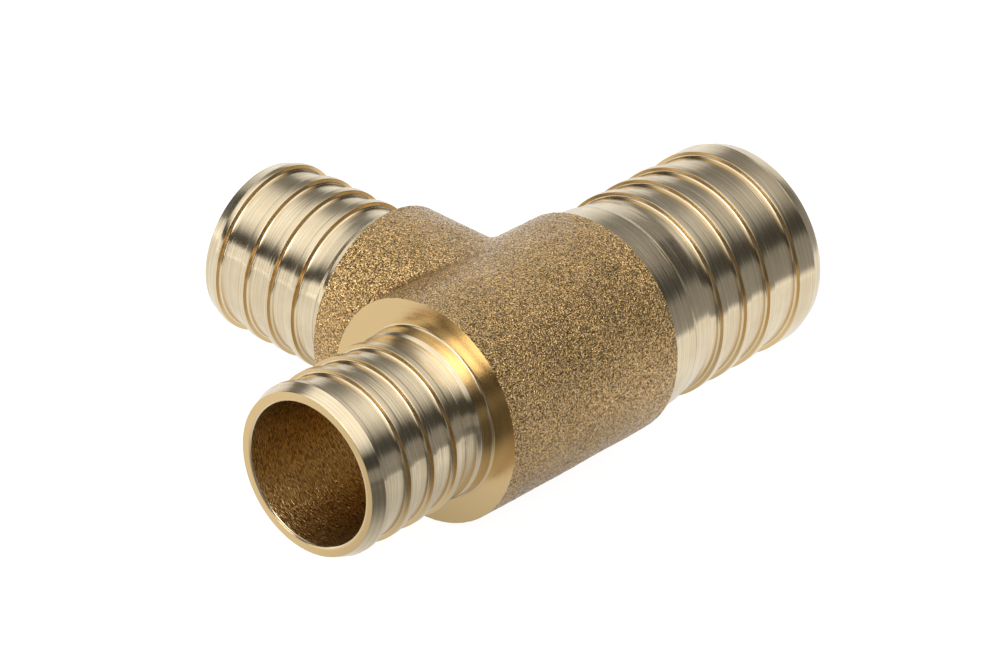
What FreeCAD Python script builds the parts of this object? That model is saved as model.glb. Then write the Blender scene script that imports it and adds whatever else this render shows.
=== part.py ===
"""Brass insert reducing tee for plastic pipe: one casting with three turned, ribbed spigots.

Frame: the origin is where the run axis crosses the branch axis. +X runs along the run towards the
large spigot, +Y runs along the branch, and +Z is square to both. Millimetres.

The real tee is a single piece of brass. It is split here where its surface changes: the cast body
keeps its rough skin, and each spigot is one turning with the faced end of the body behind it.
"""

import FreeCAD
import Part

import math
import os
from dataclasses import dataclass

INCH = 25.4

# ---- driving dimensions -------------------------------------------------------------------------

SMALL_CREST_R = 0.863 * INCH / 2      # rib tops, 1 in pipe size
LARGE_CREST_R = 1.054 * INCH / 2      # rib tops, 1 1/4 in pipe size
RIB_HEIGHT = 0.6
SMALL_BORE_R = 9.15
LARGE_BORE_R = 11.3

SMALL_RUN_TIP = -35.5                 # x of the small run spigot's tip
LARGE_RUN_TIP = 43.3                  # x of the large run spigot's tip
BRANCH_TIP = 40.7                     # y of the branch spigot's tip
SMALL_RUN_SHOULDER = -15.15           # x of the faced end under the small run spigot
LARGE_RUN_SHOULDER = 14.2             # x of the faced end under the large run spigot
BRANCH_SHOULDER = BRANCH_TIP - (SMALL_RUN_SHOULDER - SMALL_RUN_TIP)

BARREL_R_SMALL_END = 14.3             # the pattern's draft makes the barrel a slight cone
BARREL_R_LARGE_END = 14.42
BOSS_R = 12.65                        # branch boss
CROTCH_FILLET_R = 1.9                 # where the boss runs into the barrel
CORE_OVERLAP = 1.5                    # the large core passes the branch core by this much

FACED_DEPTH = 0.5                     # thickness of the faced end that goes with each spigot
MOUTH_BREAK = 0.2                     # 45 degree edge break at the mouth of each bore

RIB_COUNT = 4
WALL_LEAN = 0.1                       # axial run of a rib wall above its cove
COVE_R = 0.3                          # cove at the foot of a rib wall
STEP_HEIGHT = 0.08                    # tool step part way along the neck
SHOULDER_COVE_R = 0.45                # cove where the neck meets the faced end
SEAM_MARGIN = 0.9                     # how far the crotch seams stay from the body's other edges

X_AXIS = FreeCAD.Vector(1, 0, 0)
Y_AXIS = FreeCAD.Vector(0, 1, 0)
ORIGIN = FreeCAD.Vector(0, 0, 0)


@dataclass
class Spigot:
    """One turned spigot. Distances along its axis are measured from its tip."""

    crest_r: float
    bore_r: float
    shoulder_r: float       # radius of the faced end of the body
    length: float           # tip to shoulder face
    nose_length: float      # bevel in front of the first rib
    nose_drop: float        # how far the bevel falls below the rib tops
    first_crest: float      # width of the first rib's top
    crest: float            # width of every other rib's top
    second_rib_end: float   # far edge of the second rib's top
    pitch: float            # second rib to third, third to fourth
    step_at: float          # tool step on the neck
    neck_step_r: float      # neck radius at the step
    neck_end_r: float       # neck radius at the shoulder cove

    @property
    def root_r(self):
        """Radius of the lands between the ribs."""
        return self.crest_r - RIB_HEIGHT

    def rib_tops(self):
        """(near edge, far edge) of each rib's top."""
        tops = [(self.nose_length, self.nose_length + self.first_crest)]
        for index in range(RIB_COUNT - 1):
            far_edge = self.second_rib_end + index * self.pitch
            tops.append((far_edge - self.crest, far_edge))
        return tops


def small_spigot(length, shoulder_r):
    """The 1 in pipe spigot, used on the run and on the branch."""
    return Spigot(
        crest_r=SMALL_CREST_R,
        bore_r=SMALL_BORE_R,
        shoulder_r=shoulder_r,
        length=length,
        nose_length=1.7,
        nose_drop=0.6,
        first_crest=0.65,
        crest=1.0,
        second_rib_end=6.95,
        pitch=3.98,
        step_at=length - 2.25,
        neck_step_r=10.68,
        neck_end_r=10.95,
    )


def large_spigot(length, shoulder_r):
    """The 1 1/4 in pipe spigot, on the far end of the run."""
    return Spigot(
        crest_r=LARGE_CREST_R,
        bore_r=LARGE_BORE_R,
        shoulder_r=shoulder_r,
        length=length,
        nose_length=1.7,
        nose_drop=0.55,
        first_crest=2.95,
        crest=1.1,
        second_rib_end=10.33,
        pitch=4.47,
        step_at=length - 4.8,
        neck_step_r=13.3,
        neck_end_r=13.7,
    )


# ---- profile ------------------------------------------------------------------------------------

class Outline:
    """A closed outline in the plane of distance from the tip and radius, drawn edge by edge."""

    def __init__(self, start):
        self.start = start
        self.at = start
        self.edges = []

    @staticmethod
    def _point(place):
        """The (distance, radius) pair as a point of the section plane."""
        distance, radius = place
        return FreeCAD.Vector(distance, radius, 0)

    def line(self, place):
        """A straight edge to place."""
        self.edges.append(Part.LineSegment(self._point(self.at), self._point(place)).toShape())
        self.at = place

    def arc(self, middle, place):
        """A circular edge through middle to place."""
        points = [self._point(p) for p in (self.at, middle, place)]
        self.edges.append(Part.Arc(*points).toShape())
        self.at = place

    def cove(self, place, centre):
        """A concave arc to place about a centre."""
        mean = ((self.at[0] + place[0]) / 2 - centre[0], (self.at[1] + place[1]) / 2 - centre[1])
        radius = math.dist(place, centre)
        scale = radius / math.hypot(*mean)
        self.arc((centre[0] + mean[0] * scale, centre[1] + mean[1] * scale), place)

    def face(self):
        """Closes the outline and fills it."""
        self.line(self.start)
        return Part.Face(Part.Wire(self.edges))


def add_wall_down(outline, spigot, crest_edge):
    """From a rib top's far edge down its wall and cove to the land."""
    root_r = spigot.root_r
    foot = crest_edge + WALL_LEAN
    outline.line((foot, root_r + COVE_R))
    outline.cove((foot + COVE_R, root_r), (foot + COVE_R, root_r + COVE_R))


def add_wall_up(outline, spigot, crest_edge):
    """From the land up the cove and wall to a rib top's near edge."""
    root_r = spigot.root_r
    foot = crest_edge - WALL_LEAN
    outline.line((foot - COVE_R, root_r))
    outline.cove((foot, root_r + COVE_R), (foot - COVE_R, root_r + COVE_R))
    outline.line((crest_edge, spigot.crest_r))


def spigot_face(spigot):
    """Half section of a spigot with the faced end of the body behind it."""
    outline = Outline((0, spigot.bore_r + MOUTH_BREAK))
    outline.line((0, spigot.crest_r - spigot.nose_drop))
    tops = spigot.rib_tops()
    outline.line((tops[0][0], spigot.crest_r))
    for index, (near_edge, far_edge) in enumerate(tops):
        if index > 0:
            add_wall_up(outline, spigot, near_edge)
        outline.line((far_edge, spigot.crest_r))
        add_wall_down(outline, spigot, far_edge)
    outline.line((spigot.step_at, spigot.neck_step_r))
    outline.line((spigot.step_at + STEP_HEIGHT, spigot.neck_step_r + STEP_HEIGHT))
    cove_start = spigot.length - SHOULDER_COVE_R
    cove_top = spigot.neck_end_r + SHOULDER_COVE_R
    outline.line((cove_start, spigot.neck_end_r))
    outline.cove((spigot.length, cove_top), (cove_start, cove_top))
    outline.line((spigot.length, spigot.shoulder_r))
    outline.line((spigot.length + FACED_DEPTH, spigot.shoulder_r))
    outline.line((spigot.length + FACED_DEPTH, spigot.bore_r))
    outline.line((MOUTH_BREAK, spigot.bore_r))
    return outline.face()


def spigot_solid(spigot, tip, inward):
    """Turns the section about its axis and stands it with its tip at tip, pointing inward."""
    solid = spigot_face(spigot).revolve(ORIGIN, X_AXIS, 360)
    turn = FreeCAD.Rotation(X_AXIS, inward)
    solid.Placement = FreeCAD.Placement(tip, turn)
    return solid


# ---- pieces -------------------------------------------------------------------------------------

def small_run_spigot():
    """The 1 in spigot on the run, pointing along -X."""
    spigot = small_spigot(SMALL_RUN_SHOULDER - SMALL_RUN_TIP, BARREL_R_SMALL_END)
    return spigot_solid(spigot, X_AXIS * SMALL_RUN_TIP, X_AXIS)


def branch_spigot():
    """The 1 in spigot on the branch, pointing along +Y."""
    spigot = small_spigot(BRANCH_TIP - BRANCH_SHOULDER, BOSS_R)
    return spigot_solid(spigot, Y_AXIS * BRANCH_TIP, -Y_AXIS)


def large_run_spigot():
    """The 1 1/4 in spigot on the run, pointing along +X."""
    spigot = large_spigot(LARGE_RUN_TIP - LARGE_RUN_SHOULDER, BARREL_R_LARGE_END)
    return spigot_solid(spigot, X_AXIS * LARGE_RUN_TIP, -X_AXIS)


def cast_body():
    """Barrel and branch boss with filleted crotches, cored through in three directions."""
    start = SMALL_RUN_SHOULDER + FACED_DEPTH
    end = LARGE_RUN_SHOULDER - FACED_DEPTH
    top = BRANCH_SHOULDER - FACED_DEPTH
    barrel = Part.makeCone(BARREL_R_SMALL_END, BARREL_R_LARGE_END, end - start, X_AXIS * start, X_AXIS)
    boss = Part.makeCylinder(BOSS_R, top, ORIGIN, Y_AXIS)
    body = barrel.fuse(boss).removeSplitter()
    seams = [edge for edge in body.Edges if is_crotch(edge, start, end, top)]
    body = body.makeFillet(CROTCH_FILLET_R, seams)
    throat = -(SMALL_BORE_R + CORE_OVERLAP)
    small_core = Part.makeCylinder(SMALL_BORE_R, end - start, X_AXIS * start, X_AXIS)
    large_core = Part.makeCylinder(LARGE_BORE_R, end - throat, X_AXIS * throat, X_AXIS)
    branch_core = Part.makeCylinder(SMALL_BORE_R, top, ORIGIN, Y_AXIS)
    return body.cut(small_core.fuse([large_core, branch_core])).Solids[0]


def is_crotch(edge, start, end, top):
    """True for the edges where the boss meets the barrel, which touch neither end nor the boss top."""
    box = edge.BoundBox
    clear_of_ends = box.XMin > start + SEAM_MARGIN and box.XMax < end - SEAM_MARGIN
    on_boss_foot = box.YMin > 0 and box.YMax < top - SEAM_MARGIN
    return clear_of_ends and on_boss_foot and box.ZLength > SEAM_MARGIN


PIECES = {
    "cast_body": cast_body,
    "small_run_spigot": small_run_spigot,
    "large_run_spigot": large_run_spigot,
    "branch_spigot": branch_spigot,
}


def main():
    """Builds every piece, writes its STEP file and prints what it measures."""
    os.makedirs("parts", exist_ok=True)
    for name, make in PIECES.items():
        solid = make()
        solid.exportStep(f"parts/{name}.step")
        box = solid.optimalBoundingBox(False)
        print(
            f"{name}: {solid.ShapeType}, valid {solid.isValid()}, {solid.Volume / 1000:.2f} cm3, "
            f"x {box.XMin:.2f} to {box.XMax:.2f}, y {box.YMin:.2f} to {box.YMax:.2f}, "
            f"z {box.ZMin:.2f} to {box.ZMax:.2f}"
        )


main()
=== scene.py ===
"""Looks of a cast brass insert tee: turned spigots, rough cast body and the studio round them.

Metres throughout, in the part's own frame: +X along the run towards the large spigot, +Y along the
branch, +Z up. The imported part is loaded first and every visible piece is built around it.
"""

import enum
import logging
import math
import random
from collections.abc import Sequence
from dataclasses import dataclass
from typing import Any

import bmesh
import bpy
import numpy as np
from mathutils import Matrix, Vector


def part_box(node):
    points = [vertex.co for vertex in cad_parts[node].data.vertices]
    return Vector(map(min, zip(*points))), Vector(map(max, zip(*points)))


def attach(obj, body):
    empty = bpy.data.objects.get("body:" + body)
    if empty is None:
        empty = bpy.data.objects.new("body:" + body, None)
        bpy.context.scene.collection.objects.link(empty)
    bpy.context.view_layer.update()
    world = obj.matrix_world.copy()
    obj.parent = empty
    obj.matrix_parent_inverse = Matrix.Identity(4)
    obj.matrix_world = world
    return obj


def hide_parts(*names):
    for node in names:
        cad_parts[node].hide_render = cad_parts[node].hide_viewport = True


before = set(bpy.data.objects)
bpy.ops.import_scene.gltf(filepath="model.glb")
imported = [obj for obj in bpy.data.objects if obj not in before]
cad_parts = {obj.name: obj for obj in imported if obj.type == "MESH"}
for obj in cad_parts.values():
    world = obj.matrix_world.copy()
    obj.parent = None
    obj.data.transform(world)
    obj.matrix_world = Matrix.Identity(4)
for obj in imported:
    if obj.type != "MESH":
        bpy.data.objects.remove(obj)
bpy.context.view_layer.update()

MM = 0.001
FACED_DEPTH = 0.5 * MM
LOG = logging.getLogger("insert_tee")

Place = tuple[float, float]
Colour = tuple[float, float, float]
Material = bpy.types.Material
Socket = bpy.types.NodeSocket


class Axis(enum.Enum):
    """Which axis a turning was made about, as the component that runs along it."""

    RUN = 0
    BRANCH = 1

    @property
    def vector(self) -> Vector:
        """Unit vector along the axis."""
        return Vector([1.0 if index == self.value else 0.0 for index in range(3)])


class Metal(enum.Enum):
    """Slots of the record for the cast and turned finishes; no piece in this script takes its finish from
    them.
    """

    CAST = "cast_brass"
    TURNED = "machined_brass"


# ---- node trees ---------------------------------------------------------------------------------

class Tree:
    """A node tree being built: every call adds a node and gives back its output socket."""

    def __init__(self, tree: bpy.types.NodeTree) -> None:
        """Starts from an existing tree.

        Args:
            tree: The tree that new nodes go into.
        """
        self.tree = tree

    def feed(self, target: Socket, value: Any) -> None:
        """Links an input to a socket, or sets it to a plain value.

        Args:
            target: The input.
            value: The socket that feeds it, or its value.
        """
        if isinstance(value, Socket):
            self.tree.links.new(value, target)
        else:
            target.default_value = value

    def node(self, kind: str, inputs: dict[Any, Any] | None = None, **settings: Any) -> bpy.types.Node:
        """Adds a node.

        Args:
            kind: Blender's name for the node type.
            inputs: Input name or index to a value, or to the socket that feeds it.
            settings: Properties of the node itself.

        Returns:
            The new node.
        """
        node = self.tree.nodes.new(kind)
        for name, value in settings.items():
            setattr(node, name, value)
        for key, value in (inputs or {}).items():
            self.feed(node.inputs[key], value)
        return node

    def first(self, kind: str, inputs: dict[Any, Any] | None = None, **settings: Any) -> Socket:
        """Adds a node as node() does, and gives its first output."""
        return self.node(kind, inputs, **settings).outputs[0]

    def math(self, operation: str, *values: Any, clamp: bool = False) -> Socket:
        """Adds a Math node.

        Args:
            operation: The node's operation.
            values: Its inputs in order, as numbers or sockets.
            clamp: Whether the result is held between 0 and 1.

        Returns:
            The result socket.
        """
        return self.first("ShaderNodeMath", dict(enumerate(values)), operation=operation, use_clamp=clamp)

    def vector(self, operation: str, *values: Any) -> Socket:
        """Adds a Vector Math node.

        Args:
            operation: The node's operation.
            values: Its inputs in order, as vectors or sockets; SCALE takes its factor last.

        Returns:
            The vector result, or the number where the operation gives one.
        """
        inputs = dict(enumerate(values))
        if operation == "SCALE":
            inputs = {0: values[0], "Scale": values[1]}
        node = self.node("ShaderNodeVectorMath", inputs, operation=operation)
        return node.outputs["Value" if operation in ("LENGTH", "DOT_PRODUCT") else "Vector"]

    def combine(self, x: Any = 0.0, y: Any = 0.0, z: Any = 0.0) -> Socket:
        """Adds a node that makes a vector of three numbers."""
        return self.first("ShaderNodeCombineXYZ", {"X": x, "Y": y, "Z": z})

    def ramp(self, value: Any, span: Place, results: Place = (0.0, 1.0)) -> Socket:
        """Adds a smooth Map Range.

        Args:
            value: The socket to map.
            span: Where the change starts and ends.
            results: The result before the span and after it.

        Returns:
            The result socket.
        """
        inputs = dict(enumerate((value, *span, *results)))
        return self.first("ShaderNodeMapRange", inputs, interpolation_type="SMOOTHSTEP")

    def noise(self, place: Any, scale: float, detail: float) -> Socket:
        """Adds a noise texture.

        Args:
            place: The coordinate socket.
            scale: Features per metre.
            detail: Octaves.

        Returns:
            The noise value, about 0.5 on average.
        """
        return self.first("ShaderNodeTexNoise", {"Vector": place, "Scale": scale, "Detail": detail})

    def colour_mix(self, amount: Any, first: Any, second: Any) -> Socket:
        """Adds a colour mix.

        Args:
            amount: 0 for the first colour, 1 for the second.
            first: Colour or socket.
            second: Colour or socket.

        Returns:
            The mixed colour.
        """
        node = self.node("ShaderNodeMix", {"Factor": amount}, data_type="RGBA")
        for key, colour in ((6, first), (7, second)):
            self.feed(node.inputs[key], colour if isinstance(colour, Socket) else (*colour, 1.0))
        return node.outputs[2]


class MaterialTree(Tree):
    """The node tree of a new material, round its shader."""

    def __init__(self, name: str) -> None:
        """Makes the material.

        Args:
            name: Name of the material.
        """
        self.material = bpy.data.materials.new(name)
        self.material.use_nodes = True
        super().__init__(self.material.node_tree)
        self.shader = self.tree.nodes["Principled BSDF"]
        self.place = self.node("ShaderNodeTexCoord").outputs["Object"]

    def about(self, axis: Axis) -> tuple[Socket, Socket]:
        """Splits the place about an axis through the part's origin.

        Args:
            axis: The axis.

        Returns:
            The distance along the axis, and the spoke from the axis to the place.
        """
        along = self.vector("DOT_PRODUCT", self.place, axis.vector)
        return along, self.vector("SUBTRACT", self.place, self.vector("SCALE", axis.vector, along))

    def dress(self, inputs: dict[str, Any]) -> Material:
        """Feeds the shader.

        Args:
            inputs: Input name to a value, or to the socket that feeds it.

        Returns:
            The material.
        """
        for name, value in inputs.items():
            self.feed(self.shader.inputs[name], value)
        return self.material


class ShapeTree(Tree):
    """A Geometry Nodes tree with named inputs, applied to an object as a plain mesh."""

    def __init__(self, name: str, inputs: dict[str, str]) -> None:
        """Makes the tree and its interface.

        Args:
            name: Name of the tree.
            inputs: Name of each input to its kind of socket.
        """
        super().__init__(bpy.data.node_groups.new(name, "GeometryNodeTree"))
        interface = self.tree.interface
        self.sockets = {}
        for label, kind in {"Geometry": "Geometry", **inputs}.items():
            item = interface.new_socket(label, in_out="INPUT", socket_type=f"NodeSocket{kind}")
            self.sockets[label] = item.identifier
        interface.new_socket("Geometry", in_out="OUTPUT", socket_type="NodeSocketGeometry")
        self.given = self.tree.nodes.new("NodeGroupInput").outputs

    def keep(self, geometry: Socket, name: str, value: Socket) -> Socket:
        """Stores a number on every point.

        Args:
            geometry: The geometry.
            name: Name of the number.
            value: The number.

        Returns:
            The geometry with its numbers.
        """
        inputs = {"Geometry": geometry, "Name": name, "Value": value}
        return self.first("GeometryNodeStoreNamedAttribute", inputs, data_type="FLOAT", domain="POINT")

    def kept(self, name: str) -> Socket:
        """Reads a stored number."""
        return self.first("GeometryNodeInputNamedAttribute", {"Name": name}, data_type="FLOAT")

    def finish(self, geometry: Socket) -> None:
        """Links the result to the tree's output."""
        self.node("NodeGroupOutput", {"Geometry": geometry})

    def apply(self, base: bpy.types.Object, name: str, values: dict[str, Any]) -> bpy.types.Object:
        """Runs the tree on an object and keeps the result as a plain mesh in a new object.

        Args:
            base: The object that the tree starts from, which is removed afterwards.
            name: Name of the new object and its mesh.
            values: Input name to value.

        Returns:
            The new object, with no modifier.
        """
        modifier = base.modifiers.new(self.tree.name, "NODES")
        modifier.node_group = self.tree
        for label, value in values.items():
            modifier[self.sockets[label]] = value
        return bake_modifiers(base, name)


def bake_modifiers(base: bpy.types.Object, name: str) -> bpy.types.Object:
    """Keeps an object's evaluated mesh in a new object and removes the old one.

    Args:
        base: The object with live modifiers.
        name: Name of the new object and its mesh.

    Returns:
        The new object.
    """
    evaluated = base.evaluated_get(bpy.context.evaluated_depsgraph_get())
    mesh = bpy.data.meshes.new_from_object(evaluated)
    bpy.data.objects.remove(base)
    mesh.name = name
    return add_object(name, mesh)


def add_object(name: str, mesh: bpy.types.Mesh) -> bpy.types.Object:
    """Puts a mesh into the scene.

    Args:
        name: Name of the object.
        mesh: Its mesh.

    Returns:
        The new object.
    """
    piece = bpy.data.objects.new(name, mesh)
    bpy.context.scene.collection.objects.link(piece)
    return piece


def add_shape(name: str, shape: bmesh.types.BMesh) -> bpy.types.Object:
    """Puts a shape into the scene as a mesh.

    Args:
        name: Name of the object and its mesh.
        shape: The shape, which is freed.

    Returns:
        The new object.
    """
    mesh = bpy.data.meshes.new(name)
    shape.to_mesh(mesh)
    shape.free()
    return add_object(name, mesh)


# ---- finishes -----------------------------------------------------------------------------------

@dataclass(frozen=True)
class TurnedBrass:
    """Brass fresh off the lathe: fine rings round the axis, which stretch each reflection along it."""

    axis: Axis
    colour: Colour = (0.77, 0.66, 0.465)
    # Colour of the painted shade in the low parts of the fine rings, also reached by random darker patches.
    groove_shade_and_patch_colour: Colour = (0.66, 0.54, 0.36)
    faced_colour: Colour = (0.69, 0.50, 0.25)
    faced_slope: Place = (0.75, 0.97)
    faced_relief: float = 0.4
    roughness: float = 0.18
    faced_roughness: float = 0.19
    dull_pitch: float = 0.5 * MM
    dull_spread: float = 0.14
    stretch: float = 0.80
    ring_pitch: float = 0.20 * MM
    ring_depth: float = 0.009 * MM
    scribe_pitch: float = 0.75 * MM
    scribe_depth: float = 0.012 * MM
    scribe_span: Place = (0.60, 0.72)
    wander: float = 60.0
    patch_scale: float = 260.0
    patch_share: float = 0.4
    tone_span: Place = (0.36, 0.64)

    def material(self) -> Material:
        """Builds the material.

        Returns:
            A material whose rings follow the axis through the part's origin.
        """
        tree = MaterialTree(f"turned_brass_{self.axis.name.lower()}")
        axis = self.axis.vector
        along, spoke = tree.about(self.axis)
        tool_path = tree.math("ADD", along, tree.vector("LENGTH", spoke))
        slow = tree.vector("SCALE", spoke, self.wander)

        def rings(pitch: float, detail: float) -> Socket:
            """Noise that changes quickly along the tool's path and slowly round the axis.

            Args:
                pitch: Rough distance from ring to ring.
                detail: Octaves.

            Returns:
                The noise value.
            """
            travel = tree.math("DIVIDE", tool_path, pitch)
            return tree.noise(tree.vector("ADD", slow, tree.vector("SCALE", axis, travel)), 1.0, detail)

        fine = rings(self.ring_pitch, 3.0)
        scribe = tree.ramp(rings(self.scribe_pitch, 3.0), self.scribe_span)
        raised = tree.math("MULTIPLY", fine, self.ring_depth / MM)
        height = tree.math("SUBTRACT", raised, tree.math("MULTIPLY", scribe, self.scribe_depth / MM))
        normal = tree.node("ShaderNodeNewGeometry").outputs["Normal"]
        faced = tree.ramp(tree.math("ABSOLUTE", tree.vector("DOT_PRODUCT", normal, axis)), self.faced_slope)
        relief = tree.math("MULTIPLY_ADD", faced, self.faced_relief - 1.0, 1.0)
        bump = tree.first("ShaderNodeBump", {"Height": height, "Distance": MM, "Strength": relief})
        patches = tree.noise(tree.place, self.patch_scale, 3.0)
        fine_part = tree.math("MULTIPLY", fine, 1.0 - self.patch_share)
        # Painted shade: the colour darkens towards the groove shade colour where the fine rings, the same
        # noise that sets the bump, are low; the patch noise adds random tone.
        tone = tree.ramp(tree.math("MULTIPLY_ADD", patches, self.patch_share, fine_part), self.tone_span)
        metal = tree.colour_mix(tone, self.groove_shade_and_patch_colour, self.colour)
        uneven = rings(self.dull_pitch, 2.0)
        dull = tree.math("MULTIPLY_ADD", uneven, self.dull_spread, self.roughness - self.dull_spread / 2)
        section = tree.vector("CROSS_PRODUCT", normal, tree.vector("CROSS_PRODUCT", axis, spoke))
        return tree.dress(
            {
                "Base Color": tree.colour_mix(faced, metal, self.faced_colour),
                "Roughness": tree.math("MULTIPLY_ADD", faced, self.faced_roughness - self.roughness, dull),
                "Normal": bump,
                "Tangent": tree.vector("NORMALIZE", section),
                "Anisotropic": self.stretch,
                "Metallic": 1.0,
            }
        )


@dataclass(frozen=True)
class CastBrass:
    """Brass as cast in sand and blasted: packed grains, each tilted its own way, with painted shade in the
    hollows between them.
    """

    colour: Colour = (0.85, 0.56, 0.24)
    # Colour of the painted shade in the hollows between grains, also reached by randomly darker grains and
    # patches.
    hollow_shade_colour: Colour = (0.22, 0.14, 0.06)
    roughness: float = 0.17
    dull_spread: float = 0.14
    grain: float = 0.20 * MM
    grain_depth: float = 0.12 * MM
    grain_tilt: float = 1.20
    gap_share: float = 0.6
    lumps_per_grain: float = 0.9
    height_span: Place = (0.0, 0.30)
    height_tone: Place = (-0.18, 0.58)
    own_tone: float = 0.50
    patch_scale: float = 140.0
    patch_span: Place = (0.35, 0.65)
    patch_tone: Place = (-0.06, 0.06)

    def material(self) -> Material:
        """Builds the material.

        Returns:
            A material with grains in object space.
        """
        tree = MaterialTree("cast_brass")
        cells = {"Vector": tree.place, "Scale": 1.0 / self.grain}
        grains = tree.node("ShaderNodeTexVoronoi", cells).outputs
        off_grey = tree.vector("SUBTRACT", grains["Color"], (0.5, 0.5, 0.5))
        tilt = tree.vector("SCALE", off_grey, self.grain_tilt)
        normal = tree.node("ShaderNodeNewGeometry").outputs["Normal"]
        tilted = tree.vector("NORMALIZE", tree.vector("ADD", normal, tilt))
        lumps = tree.noise(tree.place, self.lumps_per_grain / self.grain, 1.0)
        height = tree.math("SUBTRACT", lumps, tree.math("MULTIPLY", grains["Distance"], self.gap_share))
        relief = {"Height": height, "Distance": self.grain_depth, "Strength": 1.0, "Normal": tilted}
        own_shade = tree.node("ShaderNodeSeparateXYZ", {0: grains["Color"]}).outputs["X"]
        patches = tree.ramp(tree.noise(tree.place, self.patch_scale, 3.0), self.patch_span, self.patch_tone)
        own_part = tree.math("MULTIPLY_ADD", own_shade, self.own_tone, patches)
        # Painted shade: the colour darkens towards the hollow shade colour where the height is low, in the
        # gaps between grains and the low lumps; the grains' own tone and the patches add random tone.
        height_part = tree.ramp(height, self.height_span, self.height_tone)
        raised = tree.math("ADD", height_part, own_part, clamp=True)
        dullest = self.roughness + self.dull_spread / 2
        return tree.dress(
            {
                "Base Color": tree.colour_mix(raised, self.hollow_shade_colour, self.colour),
                "Roughness": tree.math("MULTIPLY_ADD", own_shade, -self.dull_spread, dullest),
                "Normal": tree.first("ShaderNodeBump", relief),
                "Metallic": 1.0,
            }
        )


@dataclass(frozen=True)
class CoredBrass:
    """Brass inside the bores: rough and brown, with short streaks that run round the axis and painted shade
    in their low parts.
    """

    axis: Axis
    colour: Colour = (0.98, 0.72, 0.34)
    # Colour of the painted shade in the low parts of the streak relief.
    hollow_shade_colour: Colour = (0.36, 0.24, 0.10)
    roughness: float = 0.28
    streak_length: float = 0.50 * MM
    streak_width: float = 0.15 * MM
    streak_depth: float = 0.12 * MM
    tone_span: Place = (0.32, 0.66)

    def material(self) -> Material:
        """Builds the material.

        Returns:
            A material whose streaks follow the axis through the part's origin.
        """
        tree = MaterialTree(f"cored_brass_{self.axis.name.lower()}")
        along, spoke = tree.about(self.axis)
        across = tree.math("DIVIDE", along, self.streak_width)
        round_axis = tree.vector("SCALE", spoke, 1.0 / self.streak_length)
        streaks_at = tree.vector("ADD", round_axis, tree.vector("SCALE", self.axis.vector, across))
        height = tree.noise(streaks_at, 1.0, 1.5)
        relief = {"Height": height, "Distance": self.streak_depth, "Strength": 1.0}
        # Painted shade: the colour darkens where the streak relief is low, the same noise that sets the
        # bump.
        raised = tree.ramp(height, self.tone_span)
        return tree.dress(
            {
                "Base Color": tree.colour_mix(raised, self.hollow_shade_colour, self.colour),
                "Roughness": self.roughness,
                "Normal": tree.first("ShaderNodeBump", relief),
                "Metallic": 1.0,
            }
        )


@dataclass(frozen=True)
class PaleTable:
    """A white table lit from within. Seen directly it is even; reflections see a painted shadow of the part
    and the table's edges.
    """

    away: Vector
    right: Vector
    colour: Colour = (0.18, 0.18, 0.18)
    roughness: float = 0.9
    glow: float = 0.95
    reflected: float = 1.0
    front_fade: Place = (-0.050, -0.014)
    left_relief: float = 0.3
    front_shade: float = 0.16
    right_fade: Place = (0.086, 0.110)
    right_shade: float = 0.33
    rim_at: float = 0.083
    rim_width: float = 0.006
    rim_glow: float = 0.35
    # Size, softness and darkness of the painted shadow of the part.
    painted_shadow_reach: Place = (0.030, 0.030)
    painted_shadow_fade: Place = (0.3, 1.3)
    painted_shadow_depth: float = 0.45

    def material(self) -> Material:
        """Builds the material.

        Returns:
            A plain white, faintly glowing material.
        """
        tree = MaterialTree("pale_table")
        tree.dress(
            {
                "Base Color": (*self.colour, 1.0),
                "Roughness": self.roughness,
                "Emission Color": (1.0, 1.0, 1.0, 1.0),
                "Emission Strength": self.glow,
            }
        )
        away = tree.vector("DOT_PRODUCT", tree.place, self.away)
        right = tree.vector("DOT_PRODUCT", tree.place, self.right)
        dimmed = tree.first("ShaderNodeEmission", {"Strength": self.reflected_strength(tree, away, right)})
        seen = tree.node("ShaderNodeLightPath").outputs["Is Camera Ray"]
        mixed = tree.first("ShaderNodeMixShader", {0: seen, 1: dimmed, 2: tree.shader.outputs[0]})
        tree.feed(tree.tree.nodes["Material Output"].inputs["Surface"], mixed)
        return tree.material

    def reflected_strength(self, tree: Tree, away: Socket, right: Socket) -> Socket:
        """How bright the table is in the part's reflections.

        Args:
            tree: The material's tree.
            away: Distance away from the camera.
            right: Distance towards the right.

        Returns:
            The strength: even, fading out in front and on the right, with a light rim and a painted shadow
                of the part.
        """
        left = tree.math("MAXIMUM", tree.math("MULTIPLY", right, -1.0), 0.0)
        forward = tree.math("MULTIPLY_ADD", left, self.left_relief, away)
        front = tree.ramp(forward, self.front_fade, (self.front_shade, self.reflected))
        side = tree.ramp(right, self.right_fade, (self.reflected, self.right_shade))
        # Painted shadow: an oval under the part where the table is dimmed in reflections, in place of the
        # shadow that the part would cast.
        oval = tree.combine(
            tree.math("DIVIDE", right, self.painted_shadow_reach[0]),
            tree.math("DIVIDE", away, self.painted_shadow_reach[1]),
        )
        painted_shadow = tree.ramp(tree.vector("LENGTH", oval), self.painted_shadow_fade, (1.0 - self.painted_shadow_depth, 1.0))
        off_rim = tree.math("ABSOLUTE", tree.math("SUBTRACT", right, self.rim_at))
        rim = tree.ramp(off_rim, (0.0, self.rim_width / 2), (self.rim_glow, 0.0))
        return tree.math("MULTIPLY_ADD", tree.math("MINIMUM", front, side), painted_shadow, rim)


# ---- turned spigots -----------------------------------------------------------------------------

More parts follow.
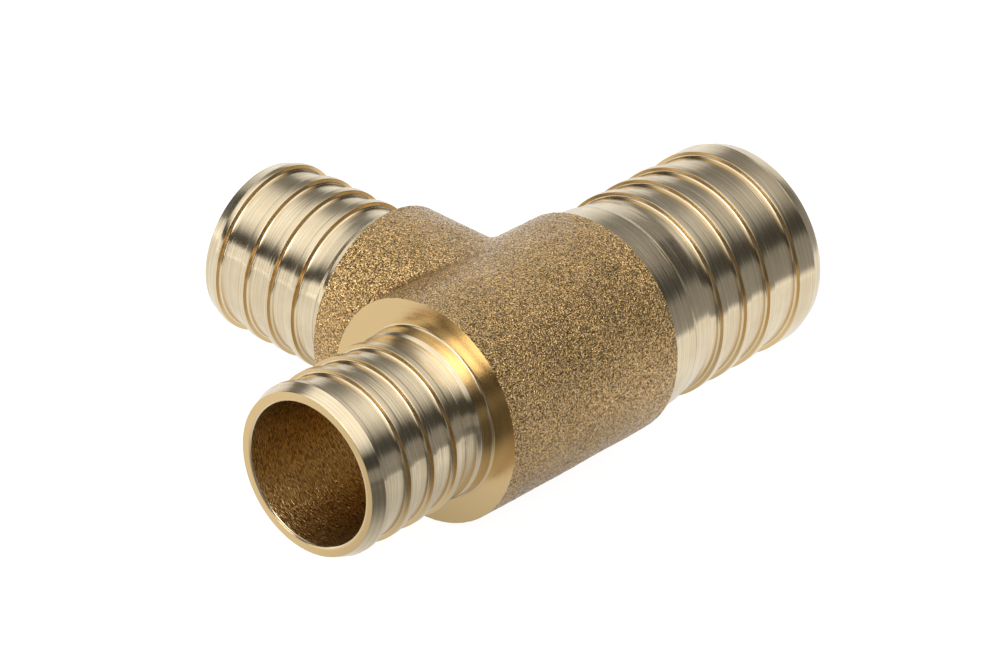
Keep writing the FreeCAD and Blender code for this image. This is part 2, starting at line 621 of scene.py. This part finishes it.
class Section:
    """A lathe section: points of (distance from the tip, radius), with the cored ones marked."""

    STEP = 0.24 * MM
    LONG_STEP = 2.0 * MM
    ROUNDED_SHARE = 0.45

    def __init__(self, start: Place) -> None:
        """Starts the section at a point.

        Args:
            start: First point.
        """
        self.points = [start]
        self.cored = [False]

    def add(self, place: Place, cored: bool = False) -> None:
        """Adds one point."""
        self.points.append(place)
        self.cored.append(cored)

    def to(self, place: Place, cored: bool = False, step: float = STEP) -> None:
        """Runs straight to a point, with points on the way where the run is long.

        Args:
            place: Where the line ends.
            cored: Whether the line lies on the cored bore.
            step: Rough distance between the points.
        """
        last = self.points[-1]
        parts = max(1, round(math.dist(last, place) / step))
        for index in range(1, parts + 1):
            share = index / parts
            self.add((last[0] + (place[0] - last[0]) * share, last[1] + (place[1] - last[1]) * share), cored)

    def round_to(self, corner: Place, after: Place, radius: float, parts: int = 4) -> None:
        """Runs towards a corner and rounds it on the way to the next point.

        Args:
            corner: The sharp corner.
            after: The point that the section heads for next.
            radius: Radius of the rounding, cut down where the sides are short.
            parts: Divisions of the rounding.
        """
        last = np.array(self.points[-1])
        tip = np.array(corner)
        back = last - tip
        on = np.array(after) - tip
        back_length, on_length = np.linalg.norm(back), np.linalg.norm(on)
        back, on = back / back_length, on / on_length
        half = math.acos(float(np.clip(back @ on, -1.0, 1.0))) / 2
        longest = self.ROUNDED_SHARE * min(back_length, on_length)
        reach = min(radius / math.tan(half), longest)
        radius = reach * math.tan(half)
        centre = tip + (back + on) / np.linalg.norm(back + on) * (radius / math.sin(half))
        self.to(tuple(tip + back * reach))
        first = tip + back * reach - centre
        final = tip + on * reach - centre
        sweep = math.atan2(first[0] * final[1] - first[1] * final[0], float(first @ final))
        for index in range(1, parts + 1):
            angle = sweep * index / parts
            across = first[0] * math.cos(angle) - first[1] * math.sin(angle)
            up = first[0] * math.sin(angle) + first[1] * math.cos(angle)
            self.add((centre[0] + across, centre[1] + up))

    def roughen(self, seed: int, depth: float) -> None:
        """Moves the turned points in and out by a little, as a lathe tool's marks do.

        Args:
            seed: Start of the random draws.
            depth: Most that a point moves.
        """
        draw = random.Random(seed)
        for index in range(1, len(self.points) - 1):
            distance, radius = self.points[index]
            if not self.cored[index]:
                self.points[index] = (distance, radius + draw.uniform(-depth, depth))

    def mesh(self, name: str) -> bpy.types.Mesh:
        """Makes a mesh of edges.

        Args:
            name: Name of the mesh.

        Returns:
            The mesh, with the cored points marked in its attribute "cored".
        """
        edges = [(index, index + 1) for index in range(len(self.points) - 1)]
        mesh = bpy.data.meshes.new(name)
        mesh.from_pydata([(distance, radius, 0.0) for distance, radius in self.points], edges, [])
        marks = mesh.attributes.new("cored", "FLOAT", "POINT")
        marks.data.foreach_set("value", [float(mark) for mark in self.cored])
        return mesh


def lathe_tree() -> ShapeTree:
    """The tree that repeats a rib along a section and turns the whole about its axis.

    Returns:
        A tree whose base geometry is the section without its ribs.
    """
    inputs = {
        "Rib Section": "Object",
        "Rib Count": "Int",
        "Rib Pitch": "Float",
        "First Rib": "Float",
        "Segments": "Int",
        "Tip": "Vector",
        "Turn": "Vector",
        "Turned Metal": "Material",
        "Cored Metal": "Material",
    }
    tree = ShapeTree("turned_spigot", inputs)
    given = tree.given
    row = {
        "Count": given["Rib Count"],
        "Start Location": tree.combine(given["First Rib"]),
        "Offset": tree.combine(given["Rib Pitch"]),
    }
    rib = tree.node("GeometryNodeObjectInfo", {"Object": given["Rib Section"]}).outputs["Geometry"]
    placed_ribs = {"Points": tree.first("GeometryNodeMeshLine", row), "Instance": rib}
    ribs = tree.first("GeometryNodeInstanceOnPoints", placed_ribs)
    joined = tree.node("GeometryNodeJoinGeometry", {"Geometry": given["Geometry"]})
    tree.feed(joined.inputs[0], tree.first("GeometryNodeRealizeInstances", {"Geometry": ribs}))
    ends = {"Geometry": joined.outputs[0], "Distance": 0.001 * MM}
    loop = tree.first("GeometryNodeMergeByDistance", ends)
    loop = tree.first("GeometryNodeMeshToCurve", {"Mesh": loop})
    split = tree.node("ShaderNodeSeparateXYZ", {0: tree.first("GeometryNodeInputPosition")}).outputs
    loop = tree.keep(tree.keep(loop, "section_distance", split["X"]), "section_radius", split["Y"])
    ring = tree.first("GeometryNodeCurvePrimitiveCircle", {"Resolution": given["Segments"], "Radius": 1.0})
    share = tree.math("DIVIDE", tree.first("GeometryNodeInputIndex"), given["Segments"])
    ring = tree.keep(ring, "angle", tree.math("MULTIPLY", share, math.tau))
    turned = tree.first("GeometryNodeCurveToMesh", {"Curve": ring, "Profile Curve": loop})
    around, radius = tree.kept("angle"), tree.kept("section_radius")
    place = tree.combine(
        tree.kept("section_distance"),
        tree.math("MULTIPLY", radius, tree.math("COSINE", around)),
        tree.math("MULTIPLY", radius, tree.math("SINE", around)),
    )
    turned = tree.first("GeometryNodeSetPosition", {"Geometry": turned, "Position": place})
    stood = {"Geometry": turned, "Translation": given["Tip"], "Rotation": given["Turn"]}
    turned = tree.first("GeometryNodeTransform", stood)
    turned = tree.first("GeometryNodeRealizeInstances", {"Geometry": turned})
    turned = tree.first("GeometryNodeSetMaterial", {"Geometry": turned, "Material": given["Turned Metal"]})
    cored = {"A": tree.kept("cored"), "B": 0.9}
    in_bore = tree.first("FunctionNodeCompare", cored, data_type="FLOAT", operation="GREATER_THAN")
    dressed = {"Geometry": turned, "Selection": in_bore, "Material": given["Cored Metal"]}
    tree.finish(tree.first("GeometryNodeSetMaterial", dressed))
    return tree


@dataclass
class TurnedSpigot:
    """One ribbed spigot, from its tip to the faced end of the body, in the sizes for 1 in pipe.

    Tip and shoulder are places along the axis, and turn, about Z, points the section inwards. Where a
    rib or a step lies is measured from the tip, unless its name says otherwise.
    """

    node: str
    axis: Axis
    tip: float
    shoulder: float
    turn: float
    seed: int
    crest_r: float = 10.96 * MM
    bore_r: float = 9.15 * MM
    nose_length: float = 1.7 * MM
    nose_drop: float = 0.6 * MM
    first_crest: float = 0.65 * MM
    crest: float = 1.0 * MM
    second_rib_end: float = 6.95 * MM
    pitch: float = 3.98 * MM
    step_to_shoulder: float = 2.25 * MM
    neck_step_r: float = 10.50 * MM
    neck_end_r: float = 10.88 * MM
    step_height: float = 0.24 * MM
    cove_r: float = 0.30 * MM
    rib_height: float = 0.6 * MM
    wall_lean: float = 0.1 * MM
    foot_r: float = 0.32 * MM
    edge_r: float = 0.05 * MM
    mouth_break: float = 0.2 * MM
    seat: float = 0.02 * MM
    mark_depth: float = 0.0009 * MM
    rib_count: int = 3
    segments: int = 384

    @property
    def length(self) -> float:
        """Tip to shoulder."""
        return abs(self.shoulder - self.tip)

    @property
    def root_r(self) -> float:
        """Radius of the lands between the ribs."""
        return self.crest_r - self.rib_height

    @property
    def cell_start(self) -> float:
        """Where the first repeated rib's section starts, half a land before it."""
        return self.second_rib_end - self.crest / 2 - self.pitch / 2

    def wall_down(self, section: Section, edge: float, land: float) -> None:
        """Runs from a rib top's far edge down its wall to the land.

        Args:
            section: The section being drawn.
            edge: Far edge of the rib's top.
            land: A place on the land that the section heads for.
        """
        foot = (edge + self.wall_lean, self.root_r)
        section.round_to((edge, self.crest_r), foot, self.edge_r)
        section.round_to(foot, (land, self.root_r), self.foot_r, parts=6)

    def wall_up(self, section: Section, edge: float, far_edge: float) -> None:
        """Runs from the land up the wall to a rib top's near edge.

        Args:
            section: The section being drawn.
            edge: Near edge of the rib's top.
            far_edge: Its far edge, which the section heads for.
        """
        top = (edge, self.crest_r)
        section.round_to((edge - self.wall_lean, self.root_r), top, self.foot_r, parts=6)
        section.round_to(top, (far_edge, self.crest_r), self.edge_r)

    def rib_section(self) -> Section:
        """Draws one repeated rib with half a land on each side.

        Returns:
            Its section, from distance zero.
        """
        near_edge = (self.pitch - self.crest) / 2
        far_edge = near_edge + self.crest
        section = Section((0.0, self.root_r))
        self.wall_up(section, near_edge, far_edge)
        self.wall_down(section, far_edge, self.pitch)
        section.to((self.pitch, self.root_r))
        section.roughen(self.seed, self.mark_depth)
        return section

    def end_section(self) -> Section:
        """Draws everything but the repeated ribs.

        Returns:
            The section from behind the last repeated rib, round the bore and the tip, to the first.
        """
        cells_end = self.cell_start + self.rib_count * self.pitch
        neck_step = self.length - self.step_to_shoulder
        section = Section((cells_end, self.root_r))
        section.to((neck_step, self.neck_step_r))
        section.to((neck_step + self.step_height, self.neck_step_r + self.step_height))
        shoulder = (self.length, self.neck_end_r)
        section.round_to(shoulder, (self.length, self.neck_end_r + 3 * self.cove_r), self.cove_r, parts=8)
        back = self.length + self.seat
        section.to((back, self.neck_end_r + self.cove_r))
        section.to((back, self.bore_r + self.seat), step=Section.LONG_STEP)
        section.to((self.length, self.bore_r))
        section.to((self.mouth_break, self.bore_r), cored=True, step=Section.LONG_STEP)
        section.to((0.0, self.bore_r + self.mouth_break))
        bevel = (0.0, self.crest_r - self.nose_drop)
        first_near = (self.nose_length, self.crest_r)
        first_far = (self.nose_length + self.first_crest, self.crest_r)
        section.round_to(bevel, first_near, self.edge_r)
        section.round_to(first_near, first_far, self.edge_r)
        self.wall_down(section, first_far[0], self.cell_start)
        section.to((self.cell_start, self.root_r))
        section.roughen(self.seed + 1, self.mark_depth)
        return section

    def build(self, tree: ShapeTree, turned: Material, cored: Material) -> bpy.types.Object:
        """Builds the spigot and ties it to its node.

        Args:
            tree: The lathe tree.
            turned: Finish of the turned surfaces.
            cored: Finish of the bore.

        Returns:
            The finished piece.
        """
        base = add_object("spigot_section", self.end_section().mesh("spigot_section"))
        rib = add_object("rib_section", self.rib_section().mesh("rib_section"))
        values = {
            "Rib Section": rib,
            "Rib Count": self.rib_count,
            "Rib Pitch": self.pitch,
            "First Rib": self.cell_start,
            "Segments": self.segments,
            "Tip": self.axis.vector * self.tip,
            "Turn": (0.0, 0.0, self.turn),
            "Turned Metal": turned,
            "Cored Metal": cored,
        }
        piece = tree.apply(base, f"{self.node}_turning", values)
        bpy.data.objects.remove(rib)
        face_outwards(piece.data)
        smooth_within(piece.data)
        tie(piece, (self.node,))
        return piece


@dataclass
class LargeSpigot(TurnedSpigot):
    """The spigot for 1 1/4 in pipe."""

    crest_r: float = 13.386 * MM
    bore_r: float = 11.3 * MM
    nose_drop: float = 0.55 * MM
    first_crest: float = 2.95 * MM
    crest: float = 1.1 * MM
    second_rib_end: float = 10.33 * MM
    pitch: float = 4.47 * MM
    step_to_shoulder: float = 4.8 * MM
    neck_step_r: float = 13.3 * MM
    neck_end_r: float = 13.7 * MM
    step_height: float = 0.08 * MM


def face_outwards(mesh: bpy.types.Mesh) -> None:
    """Turns a closed mesh's faces outwards where its volume comes out negative.

    Args:
        mesh: The mesh.
    """
    shape = bmesh.new()
    shape.from_mesh(mesh)
    if shape.calc_volume(signed=True) < 0:
        bmesh.ops.reverse_faces(shape, faces=shape.faces)
    shape.to_mesh(mesh)
    shape.free()


def smooth_within(mesh: bpy.types.Mesh, crease: float = math.radians(75)) -> None:
    """Shades a mesh smooth, with sharp edges where its finish changes or it turns past an angle.

    Args:
        mesh: The mesh.
        crease: Angle between faces above which the edge stays sharp.
    """
    mesh.shade_smooth()
    shape = bmesh.new()
    shape.from_mesh(mesh)
    for edge in shape.edges:
        faces = edge.link_faces
        if len(faces) == 2:
            changes = faces[0].material_index != faces[1].material_index
            edge.smooth = not changes and edge.calc_face_angle(0.0) < crease
    shape.to_mesh(mesh)
    shape.free()


def tie(piece: bpy.types.Object, nodes: Sequence[str]) -> None:
    """Makes a piece ride with the part and stand for its nodes.

    Args:
        piece: The visible piece.
        nodes: Nodes that it stands for.
    """
    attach(piece, "root")
    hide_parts(*nodes)
    LOG.info("%s: %d faces, stands for %s", piece.name, len(piece.data.polygons), ", ".join(nodes))


# ---- cast body ----------------------------------------------------------------------------------

def grain_tree() -> ShapeTree:
    """The tree that raises sand grain and a slow wander on a blank's skin.

    Returns:
        A tree whose base geometry is the smooth blank.
    """
    sizes = ("Grain Size", "Grain Depth", "Swell Size", "Swell Depth")
    tree = ShapeTree("cast_grain", {**{size: "Float" for size in sizes}, "Skin": "Material"})
    given = tree.given
    position = tree.first("GeometryNodeInputPosition")

    def lumps(kind: str, detail: float) -> Socket:
        """Noise of one kind, centred on zero.

        Args:
            kind: Grain or Swell, whose size and depth it takes.
            detail: Octaves.

        Returns:
            The height that it adds.
        """
        place = tree.vector("SCALE", position, tree.math("DIVIDE", 1.0, given[f"{kind} Size"]))
        centred = tree.math("SUBTRACT", tree.noise(place, 1.0, detail), 0.5)
        return tree.math("MULTIPLY", centred, tree.math("MULTIPLY", given[f"{kind} Depth"], 2.0))

    height = tree.math("ADD", lumps("Grain", 1.0), lumps("Swell", 0.0))
    offset = tree.vector("SCALE", tree.first("GeometryNodeInputNormal"), height)
    skin = tree.first("GeometryNodeSetPosition", {"Geometry": given["Geometry"], "Offset": offset})
    skin = tree.first("GeometryNodeRealizeInstances", {"Geometry": skin})
    tree.finish(tree.first("GeometryNodeSetMaterial", {"Geometry": skin, "Material": given["Skin"]}))
    return tree


def add_cylinder(shape: bmesh.types.BMesh, axis: Axis, span: Place, radius: float, segments: int) -> None:
    """Adds a capped cylinder to a shape.

    Args:
        shape: The shape.
        axis: Axis of the cylinder.
        span: Where it starts and ends along the axis.
        radius: Its radius.
        segments: Sides round it.
    """
    start, end = span
    turn = Matrix.Rotation(math.pi / 2, 4, "Y" if axis is Axis.RUN else "X")
    matrix = Matrix.Translation(axis.vector * (start + end) / 2) @ turn
    bmesh.ops.create_cone(
        shape,
        cap_ends=True,
        segments=segments,
        radius1=radius,
        radius2=radius,
        depth=end - start,
        matrix=matrix,
    )


@dataclass
class CastBody:
    """Barrel and branch boss as cast, cored through and faced at its three ends."""

    small_face: float
    large_face: float
    branch_face: float
    small_core_r: float = TurnedSpigot.bore_r
    large_core_r: float = LargeSpigot.bore_r
    barrel_r_small: float = 14.3 * MM
    barrel_r_large: float = 14.42 * MM
    boss_r: float = 12.65 * MM
    boss_foot: float = 4.0 * MM
    fillet_r: float = 1.9 * MM
    least_blend: float = 0.01 * MM
    core_overlap: float = 1.5 * MM
    overrun: float = 1.2 * MM
    mesh_step: float = 0.2 * MM
    settle_rounds: int = 6
    least_slope: float = 0.2
    grain_size: float = 0.75 * MM
    grain_depth: float = 0.055 * MM
    swell_size: float = 9.0 * MM
    swell_depth: float = 0.16 * MM
    blank_segments: int = 256
    core_segments: int = 192
    face_margin: float = 0.005 * MM
    square_on: float = 0.99

    def barrel_r(self, x: np.ndarray) -> np.ndarray:
        """Radius of the drafted barrel at each x."""
        share = (x - self.small_face) / (self.large_face - self.small_face)
        return self.barrel_r_small + (self.barrel_r_large - self.barrel_r_small) * share

    def depth(self, points: np.ndarray) -> np.ndarray:
        """How far points lie outside the filleted union of barrel and boss.

        Args:
            points: N by 3 places.

        Returns:
            Distances, negative inside.
        """
        x, y, z = points.T
        barrel_rho = np.hypot(y, z)
        boss_rho = np.hypot(x, z)
        barrel = barrel_rho - self.barrel_r(x)
        boss = np.maximum(boss_rho - self.boss_r, self.boss_foot - y)
        alike = np.clip(z * z / np.maximum(barrel_rho * boss_rho, MM * MM), 0.0, 1.0)
        reach = np.maximum(4 * self.fillet_r * (1 - np.sqrt((1 + alike) / 2)), self.least_blend)
        blend = np.maximum(reach - np.abs(barrel - boss), 0.0)
        return np.minimum(barrel, boss) - blend * blend / (4 * reach)

    def blank(self) -> bpy.types.Object:
        """The smooth outer shape, overlong at its three ends.

        Returns:
            An object whose mesh is one closed, evenly divided skin.
        """
        shape = bmesh.new()
        start, end = self.small_face - self.overrun, self.large_face + self.overrun
        top = self.branch_face + self.overrun
        add_cylinder(shape, Axis.RUN, (start, end), self.barrel_r_large, self.blank_segments)
        add_cylinder(shape, Axis.BRANCH, (0.0, top), self.boss_r, self.blank_segments)
        blank = add_shape("blank", shape)
        remesh = blank.modifiers.new("even_skin", "REMESH")
        remesh.mode = "VOXEL"
        remesh.voxel_size = self.mesh_step
        blank = bake_modifiers(blank, "blank")
        self.settle(blank.data)
        return blank

    def settle(self, mesh: bpy.types.Mesh) -> None:
        """Draws a divided blank's points onto the filleted shape, leaving its flat ends alone.

        Args:
            mesh: The blank's mesh.
        """
        points = np.empty(len(mesh.vertices) * 3)
        mesh.vertices.foreach_get("co", points)
        points = points.reshape(-1, 3)
        guard = self.overrun / 2
        x, y, _ = points.T
        on_barrel = (x > self.small_face - guard) & (x < self.large_face + guard)
        on_skin = on_barrel & (y < self.branch_face + guard)
        moved = points[on_skin]
        nudge = 0.001 * MM
        for _ in range(self.settle_rounds):
            depth = self.depth(moved)
            slope = np.empty_like(moved)
            for index in range(3):
                ahead = moved.copy()
                ahead[:, index] += nudge
                slope[:, index] = (self.depth(ahead) - depth) / nudge
            steep = np.maximum((slope * slope).sum(axis=1), self.least_slope)
            moved = moved - slope * (depth / steep)[:, None]
        points[on_skin] = moved
        mesh.vertices.foreach_set("co", points.ravel())
        mesh.update()

    def cutter(self, name: str, axis: Axis, span: Place, radius: float) -> bpy.types.Object:
        """A plain closed cylinder for cutting with.

        Args:
            name: Its name.
            axis: Its axis.
            span: Where it starts and ends along the axis.
            radius: Its radius.

        Returns:
            The cutter.
        """
        shape = bmesh.new()
        add_cylinder(shape, axis, span, radius, self.core_segments)
        bmesh.ops.recalc_face_normals(shape, faces=shape.faces)
        return add_shape(name, shape)

    def cutters(self) -> list[bpy.types.Object]:
        """Makes everything that the casting is cut with.

        Returns:
            The cores, and the three blocks that face the ends.
        """
        throat = -(self.small_core_r + self.core_overlap)
        wide = 1.5 * self.barrel_r_large
        before_small = self.small_face - 2 * self.overrun
        past_large = self.large_face + 2 * self.overrun
        past_branch = self.branch_face + 2 * self.overrun
        return [
            self.cutter("small_core", Axis.RUN, (before_small, 0.0), self.small_core_r),
            self.cutter("large_core", Axis.RUN, (throat, past_large), self.large_core_r),
            self.cutter("branch_core", Axis.BRANCH, (0.0, past_branch), self.small_core_r),
            self.cutter("small_facing", Axis.RUN, (before_small, self.small_face), wide),
            self.cutter("large_facing", Axis.RUN, (self.large_face, past_large), wide),
            self.cutter("branch_facing", Axis.BRANCH, (self.branch_face, past_branch), wide),
        ]

    def paint(self, mesh: bpy.types.Mesh, materials: Sequence[Material]) -> None:
        """Gives each face its finish by where it lies.

        Args:
            mesh: The cut casting.
            materials: Skin, cored passages, run facings and branch facing, in that order.
        """
        mesh.materials.clear()
        for material in materials:
            mesh.materials.append(material)
        count = len(mesh.polygons)
        centres, normals = np.empty((count, 3)), np.empty((count, 3))
        mesh.polygons.foreach_get("center", centres.ravel())
        mesh.polygons.foreach_get("normal", normals.ravel())
        x, y, z = centres.T
        near = self.face_margin
        finish = np.zeros(count, dtype=np.int32)
        in_run = np.hypot(y, z) < self.large_core_r + near
        in_branch = (np.hypot(x, z) < self.small_core_r + near) & (y > 0)
        finish[in_run | in_branch] = 1
        flat_run = (np.abs(x - self.small_face) < near) | (np.abs(x - self.large_face) < near)
        finish[flat_run & (np.abs(normals[:, 0]) > self.square_on)] = 2
        finish[(np.abs(y - self.branch_face) < near) & (np.abs(normals[:, 1]) > self.square_on)] = 3
        mesh.polygons.foreach_set("material_index", finish)

    def build(self, tree: ShapeTree, materials: Sequence[Material]) -> bpy.types.Object:
        """Builds the casting and ties it to its node.

        Args:
            tree: The grain tree.
            materials: Skin, cored passages, run facings and branch facing, in that order.

        Returns:
            The finished piece.
        """
        values = {
            "Grain Size": self.grain_size,
            "Grain Depth": self.grain_depth,
            "Swell Size": self.swell_size,
            "Swell Depth": self.swell_depth,
            "Skin": materials[0],
        }
        casting = tree.apply(self.blank(), "casting", values)
        face_outwards(casting.data)
        cutters = self.cutters()
        for cutter in cutters:
            cut = casting.modifiers.new(cutter.name, "BOOLEAN")
            cut.operation = "DIFFERENCE"
            cut.solver = "MANIFOLD"
            cut.object = cutter
        piece = bake_modifiers(casting, "cast_body_casting")
        for cutter in cutters:
            bpy.data.objects.remove(cutter)
        self.paint(piece.data, materials)
        smooth_within(piece.data)
        tie(piece, ("cast_body",))
        return piece


# ---- studio -------------------------------------------------------------------------------------

@dataclass(frozen=True)
class Card:
    """An upright light that stands on the table, with its angles in degrees.

    Bearing is where its middle stands, turned from straight ahead towards the right. Spread is the
    angle that it covers from side to side, and rise is the elevation of its top edge.
    """

    name: str
    bearing: float
    spread: float
    distance: float
    rise: float
    brightness: float


CARDS = (
    Card("left_card", bearing=-83.0, spread=44.0, distance=0.5, rise=13.0, brightness=1.0),
    Card("back_card", bearing=-2.0, spread=70.0, distance=0.8, rise=22.0, brightness=0.52),
    Card("back_wall", bearing=-2.0, spread=80.0, distance=0.85, rise=44.0, brightness=0.17),
    Card("left_strip", bearing=-123.0, spread=15.0, distance=0.5, rise=18.0, brightness=1.9),
)


@dataclass
class Studio:
    """Table, lights and camera. The camera looks down on the small run end and along the branch."""

    azimuth: float = math.radians(-50.04)
    elevation: float = math.radians(30.96)
    roll: float = math.radians(3.413)
    distance: float = 0.7608
    aim_right: float = -0.00115
    aim_up: float = 0.003818
    lens: float = 228.2
    sensor: float = 36.0
    clip: Place = (0.01, 20.0)
    table_z: float = -0.01452
    table_radius: float = 3.0
    table_segments: int = 96
    softbox_height: float = 0.45
    softbox_brightness: float = 1.30
    softbox_side: Place = (-2.4, 2.1)
    softbox_depth: Place = (-1.6, 1.5)
    softbox_middle: float = -0.2
    softbox_reach: Place = (1.4, 0.85)
    softbox_front: float = 0.55
    softbox_fade: Place = (0.52, 1.45)
    front_height: float = 0.95
    front_brightness: float = 2.5
    front_side: Place = (-1.05, 0.05)
    front_depth: Place = (-1.45, -0.45)
    room_fade: Place = (math.radians(10), math.radians(16))
    room_strength: Place = (0.30, 0.06)

    @property
    def away(self) -> Vector:
        """Level direction from the camera into the picture."""
        return Vector((-math.sin(self.azimuth), math.cos(self.azimuth), 0.0))

    @property
    def right(self) -> Vector:
        """Level direction towards the picture's right."""
        return Vector((math.cos(self.azimuth), math.sin(self.azimuth), 0.0))

    def build(self) -> None:
        """Builds the whole studio."""
        self.build_table()
        self.build_softbox()
        for card in CARDS:
            self.build_card(card)
        self.build_world()
        self.build_camera()

    def build_table(self) -> None:
        """A wide round table top that the part rests on."""
        mesh = bpy.data.meshes.new("table")
        shape = bmesh.new()
        bmesh.ops.create_circle(shape, cap_ends=True, segments=self.table_segments, radius=self.table_radius)
        bmesh.ops.translate(shape, verts=shape.verts, vec=(0, 0, self.table_z))
        shape.to_mesh(mesh)
        shape.free()
        mesh.materials.append(PaleTable(self.away, self.right).material())
        add_object("table", mesh)

    def area_light(
        self, name: str, centre: Vector, size: Place, facing: Vector, upright: Vector, brightness: float
    ) -> bpy.types.Light:
        """Adds a rectangular light that the camera doesn't see.

        Args:
            name: Its name.
            centre: Its middle.
            size: Width and height.
            facing: Direction that it shines in.
            upright: Direction of its height.
            brightness: Its radiance.

        Returns:
            The light.
        """
        light = bpy.data.lights.new(name, "AREA")
        light.shape = "RECTANGLE"
        light.size, light.size_y = size
        light.energy = brightness * math.pi * size[0] * size[1]
        lamp = bpy.data.objects.new(name, light)
        back = -facing.normalized()
        up = upright.normalized()
        across = up.cross(back)
        lamp.matrix_world = Matrix.Translation(centre) @ Matrix((across, up, back)).transposed().to_4x4()
        lamp.visible_camera = False
        bpy.context.scene.collection.objects.link(lamp)
        return light

    def overhead(
        self, name: str, height: float, side: Place, depth: Place, brightness: float
    ) -> bpy.types.Light:
        """Adds a level light overhead.

        Args:
            name: Its name.
            height: Its height over the part.
            side: Its left and right edges, in shares of its height.
            depth: Its near and far edges, in shares of its height.
            brightness: Its radiance.

        Returns:
            The light.
        """
        middle = self.right * sum(side) / 2 + self.away * sum(depth) / 2
        size = ((side[1] - side[0]) * height, (depth[1] - depth[0]) * height)
        centre = middle * height + Vector((0, 0, height))
        return self.area_light(name, centre, size, Vector((0, 0, -1)), self.away, brightness)

    def build_softbox(self) -> None:
        """The big overhead softbox, fading out round an oval, and a smaller one over the camera's left."""
        height = self.softbox_height
        edges = (self.softbox_side, self.softbox_depth)
        softbox = self.overhead("softbox", height, *edges, self.softbox_brightness)
        softbox.use_nodes = True
        tree = Tree(softbox.node_tree)
        place = tree.node("ShaderNodeNewGeometry").outputs["Position"]
        side = tree.math("DIVIDE", tree.vector("DOT_PRODUCT", place, self.right), height)
        depth = tree.math("DIVIDE", tree.vector("DOT_PRODUCT", place, self.away), height)
        depth = tree.math("MAXIMUM", depth, tree.math("MULTIPLY", depth, -self.softbox_front))
        across = tree.math("DIVIDE", tree.math("SUBTRACT", side, self.softbox_middle), self.softbox_reach[0])
        oval = tree.combine(across, tree.math("DIVIDE", depth, self.softbox_reach[1]))
        glow = tree.ramp(tree.vector("LENGTH", oval), self.softbox_fade, (1.0, 0.0))
        tree.feed(tree.tree.nodes["Emission"].inputs["Strength"], glow)
        front = (self.front_height * height, self.front_side, self.front_depth, self.front_brightness)
        self.overhead("front_box", *front)

    def build_card(self, card: Card) -> None:
        """Stands a card on the table.

        Args:
            card: The card.
        """
        up = Vector((0, 0, 1))
        bearing = math.radians(card.bearing)
        toward = self.away * math.cos(bearing) + self.right * math.sin(bearing)
        height = card.distance * math.tan(math.radians(card.rise)) - self.table_z
        centre = toward * card.distance + up * (self.table_z + height / 2)
        size = (2 * card.distance * math.tan(math.radians(card.spread) / 2), height)
        self.area_light(card.name, centre, size, -toward, up, card.brightness)

    def build_world(self) -> None:
        """A dim room that is grey low down and nearly black higher up, and white to the camera."""
        world = bpy.data.worlds.new("studio")
        bpy.context.scene.world = world
        world.use_nodes = True
        tree = Tree(world.node_tree)
        toward = tree.node("ShaderNodeTexCoord").outputs["Generated"]
        up = tree.node("ShaderNodeSeparateXYZ", {0: toward}).outputs["Z"]
        fade = tuple(math.sin(angle) for angle in self.room_fade)
        shade = tree.ramp(up, fade, self.room_strength)
        seen = tree.node("ShaderNodeLightPath").outputs["Is Camera Ray"]
        background = tree.tree.nodes["Background"].inputs
        tree.feed(background["Strength"], tree.math("MAXIMUM", shade, seen))
        tree.feed(background["Color"], (1.0, 1.0, 1.0, 1.0))

    def build_camera(self) -> None:
        """The camera, a long lens looking down on the part."""
        level = self.right
        back = Vector(
            (
                math.sin(self.azimuth) * math.cos(self.elevation),
                -math.cos(self.azimuth) * math.cos(self.elevation),
                math.sin(self.elevation),
            )
        )
        up = back.cross(level)
        right = level * math.cos(self.roll) + up * math.sin(self.roll)
        up = up * math.cos(self.roll) - level * math.sin(self.roll)
        centre = back * self.distance + right * self.aim_right + up * self.aim_up
        data = bpy.data.cameras.new("camera")
        data.sensor_fit = "HORIZONTAL"
        data.sensor_width = self.sensor
        data.lens = self.lens
        data.clip_start, data.clip_end = self.clip
        camera = bpy.data.objects.new("camera", data)
        camera.matrix_world = Matrix.Translation(centre) @ Matrix((right, up, back)).transposed().to_4x4()
        bpy.context.scene.collection.objects.link(camera)
        bpy.context.scene.camera = camera


# ---- assembly -----------------------------------------------------------------------------------

def main() -> None:
    """Builds the casting, the three spigots and the studio."""
    logging.basicConfig(level=logging.INFO, format="%(message)s")
    bpy.context.scene.view_settings.view_transform = "Standard"
    small_low, small_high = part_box("small_run_spigot")
    large_low, large_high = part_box("large_run_spigot")
    branch_low, branch_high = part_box("branch_spigot")
    small_face = small_high[0] - FACED_DEPTH
    large_face = large_low[0] + FACED_DEPTH
    branch_face = branch_low[1] + FACED_DEPTH

    cored = {axis: CoredBrass(axis).material() for axis in Axis}
    turned = {axis: TurnedBrass(axis).material() for axis in Axis}
    finishes = (CastBrass().material(), cored[Axis.RUN], turned[Axis.RUN], turned[Axis.BRANCH])
    CastBody(small_face, large_face, branch_face).build(grain_tree(), finishes)

    lathe = lathe_tree()
    spigots = (
        TurnedSpigot("small_run_spigot", Axis.RUN, small_low[0], small_face, turn=0.0, seed=11),
        TurnedSpigot("branch_spigot", Axis.BRANCH, branch_high[1], branch_face, turn=-math.pi / 2, seed=23),
        LargeSpigot("large_run_spigot", Axis.RUN, large_high[0], large_face, turn=math.pi, seed=37),
    )
    for spigot in spigots:
        spigot.build(lathe, turned[spigot.axis], cored[spigot.axis])

    Studio().build()


if __name__ == "__main__":
    main()
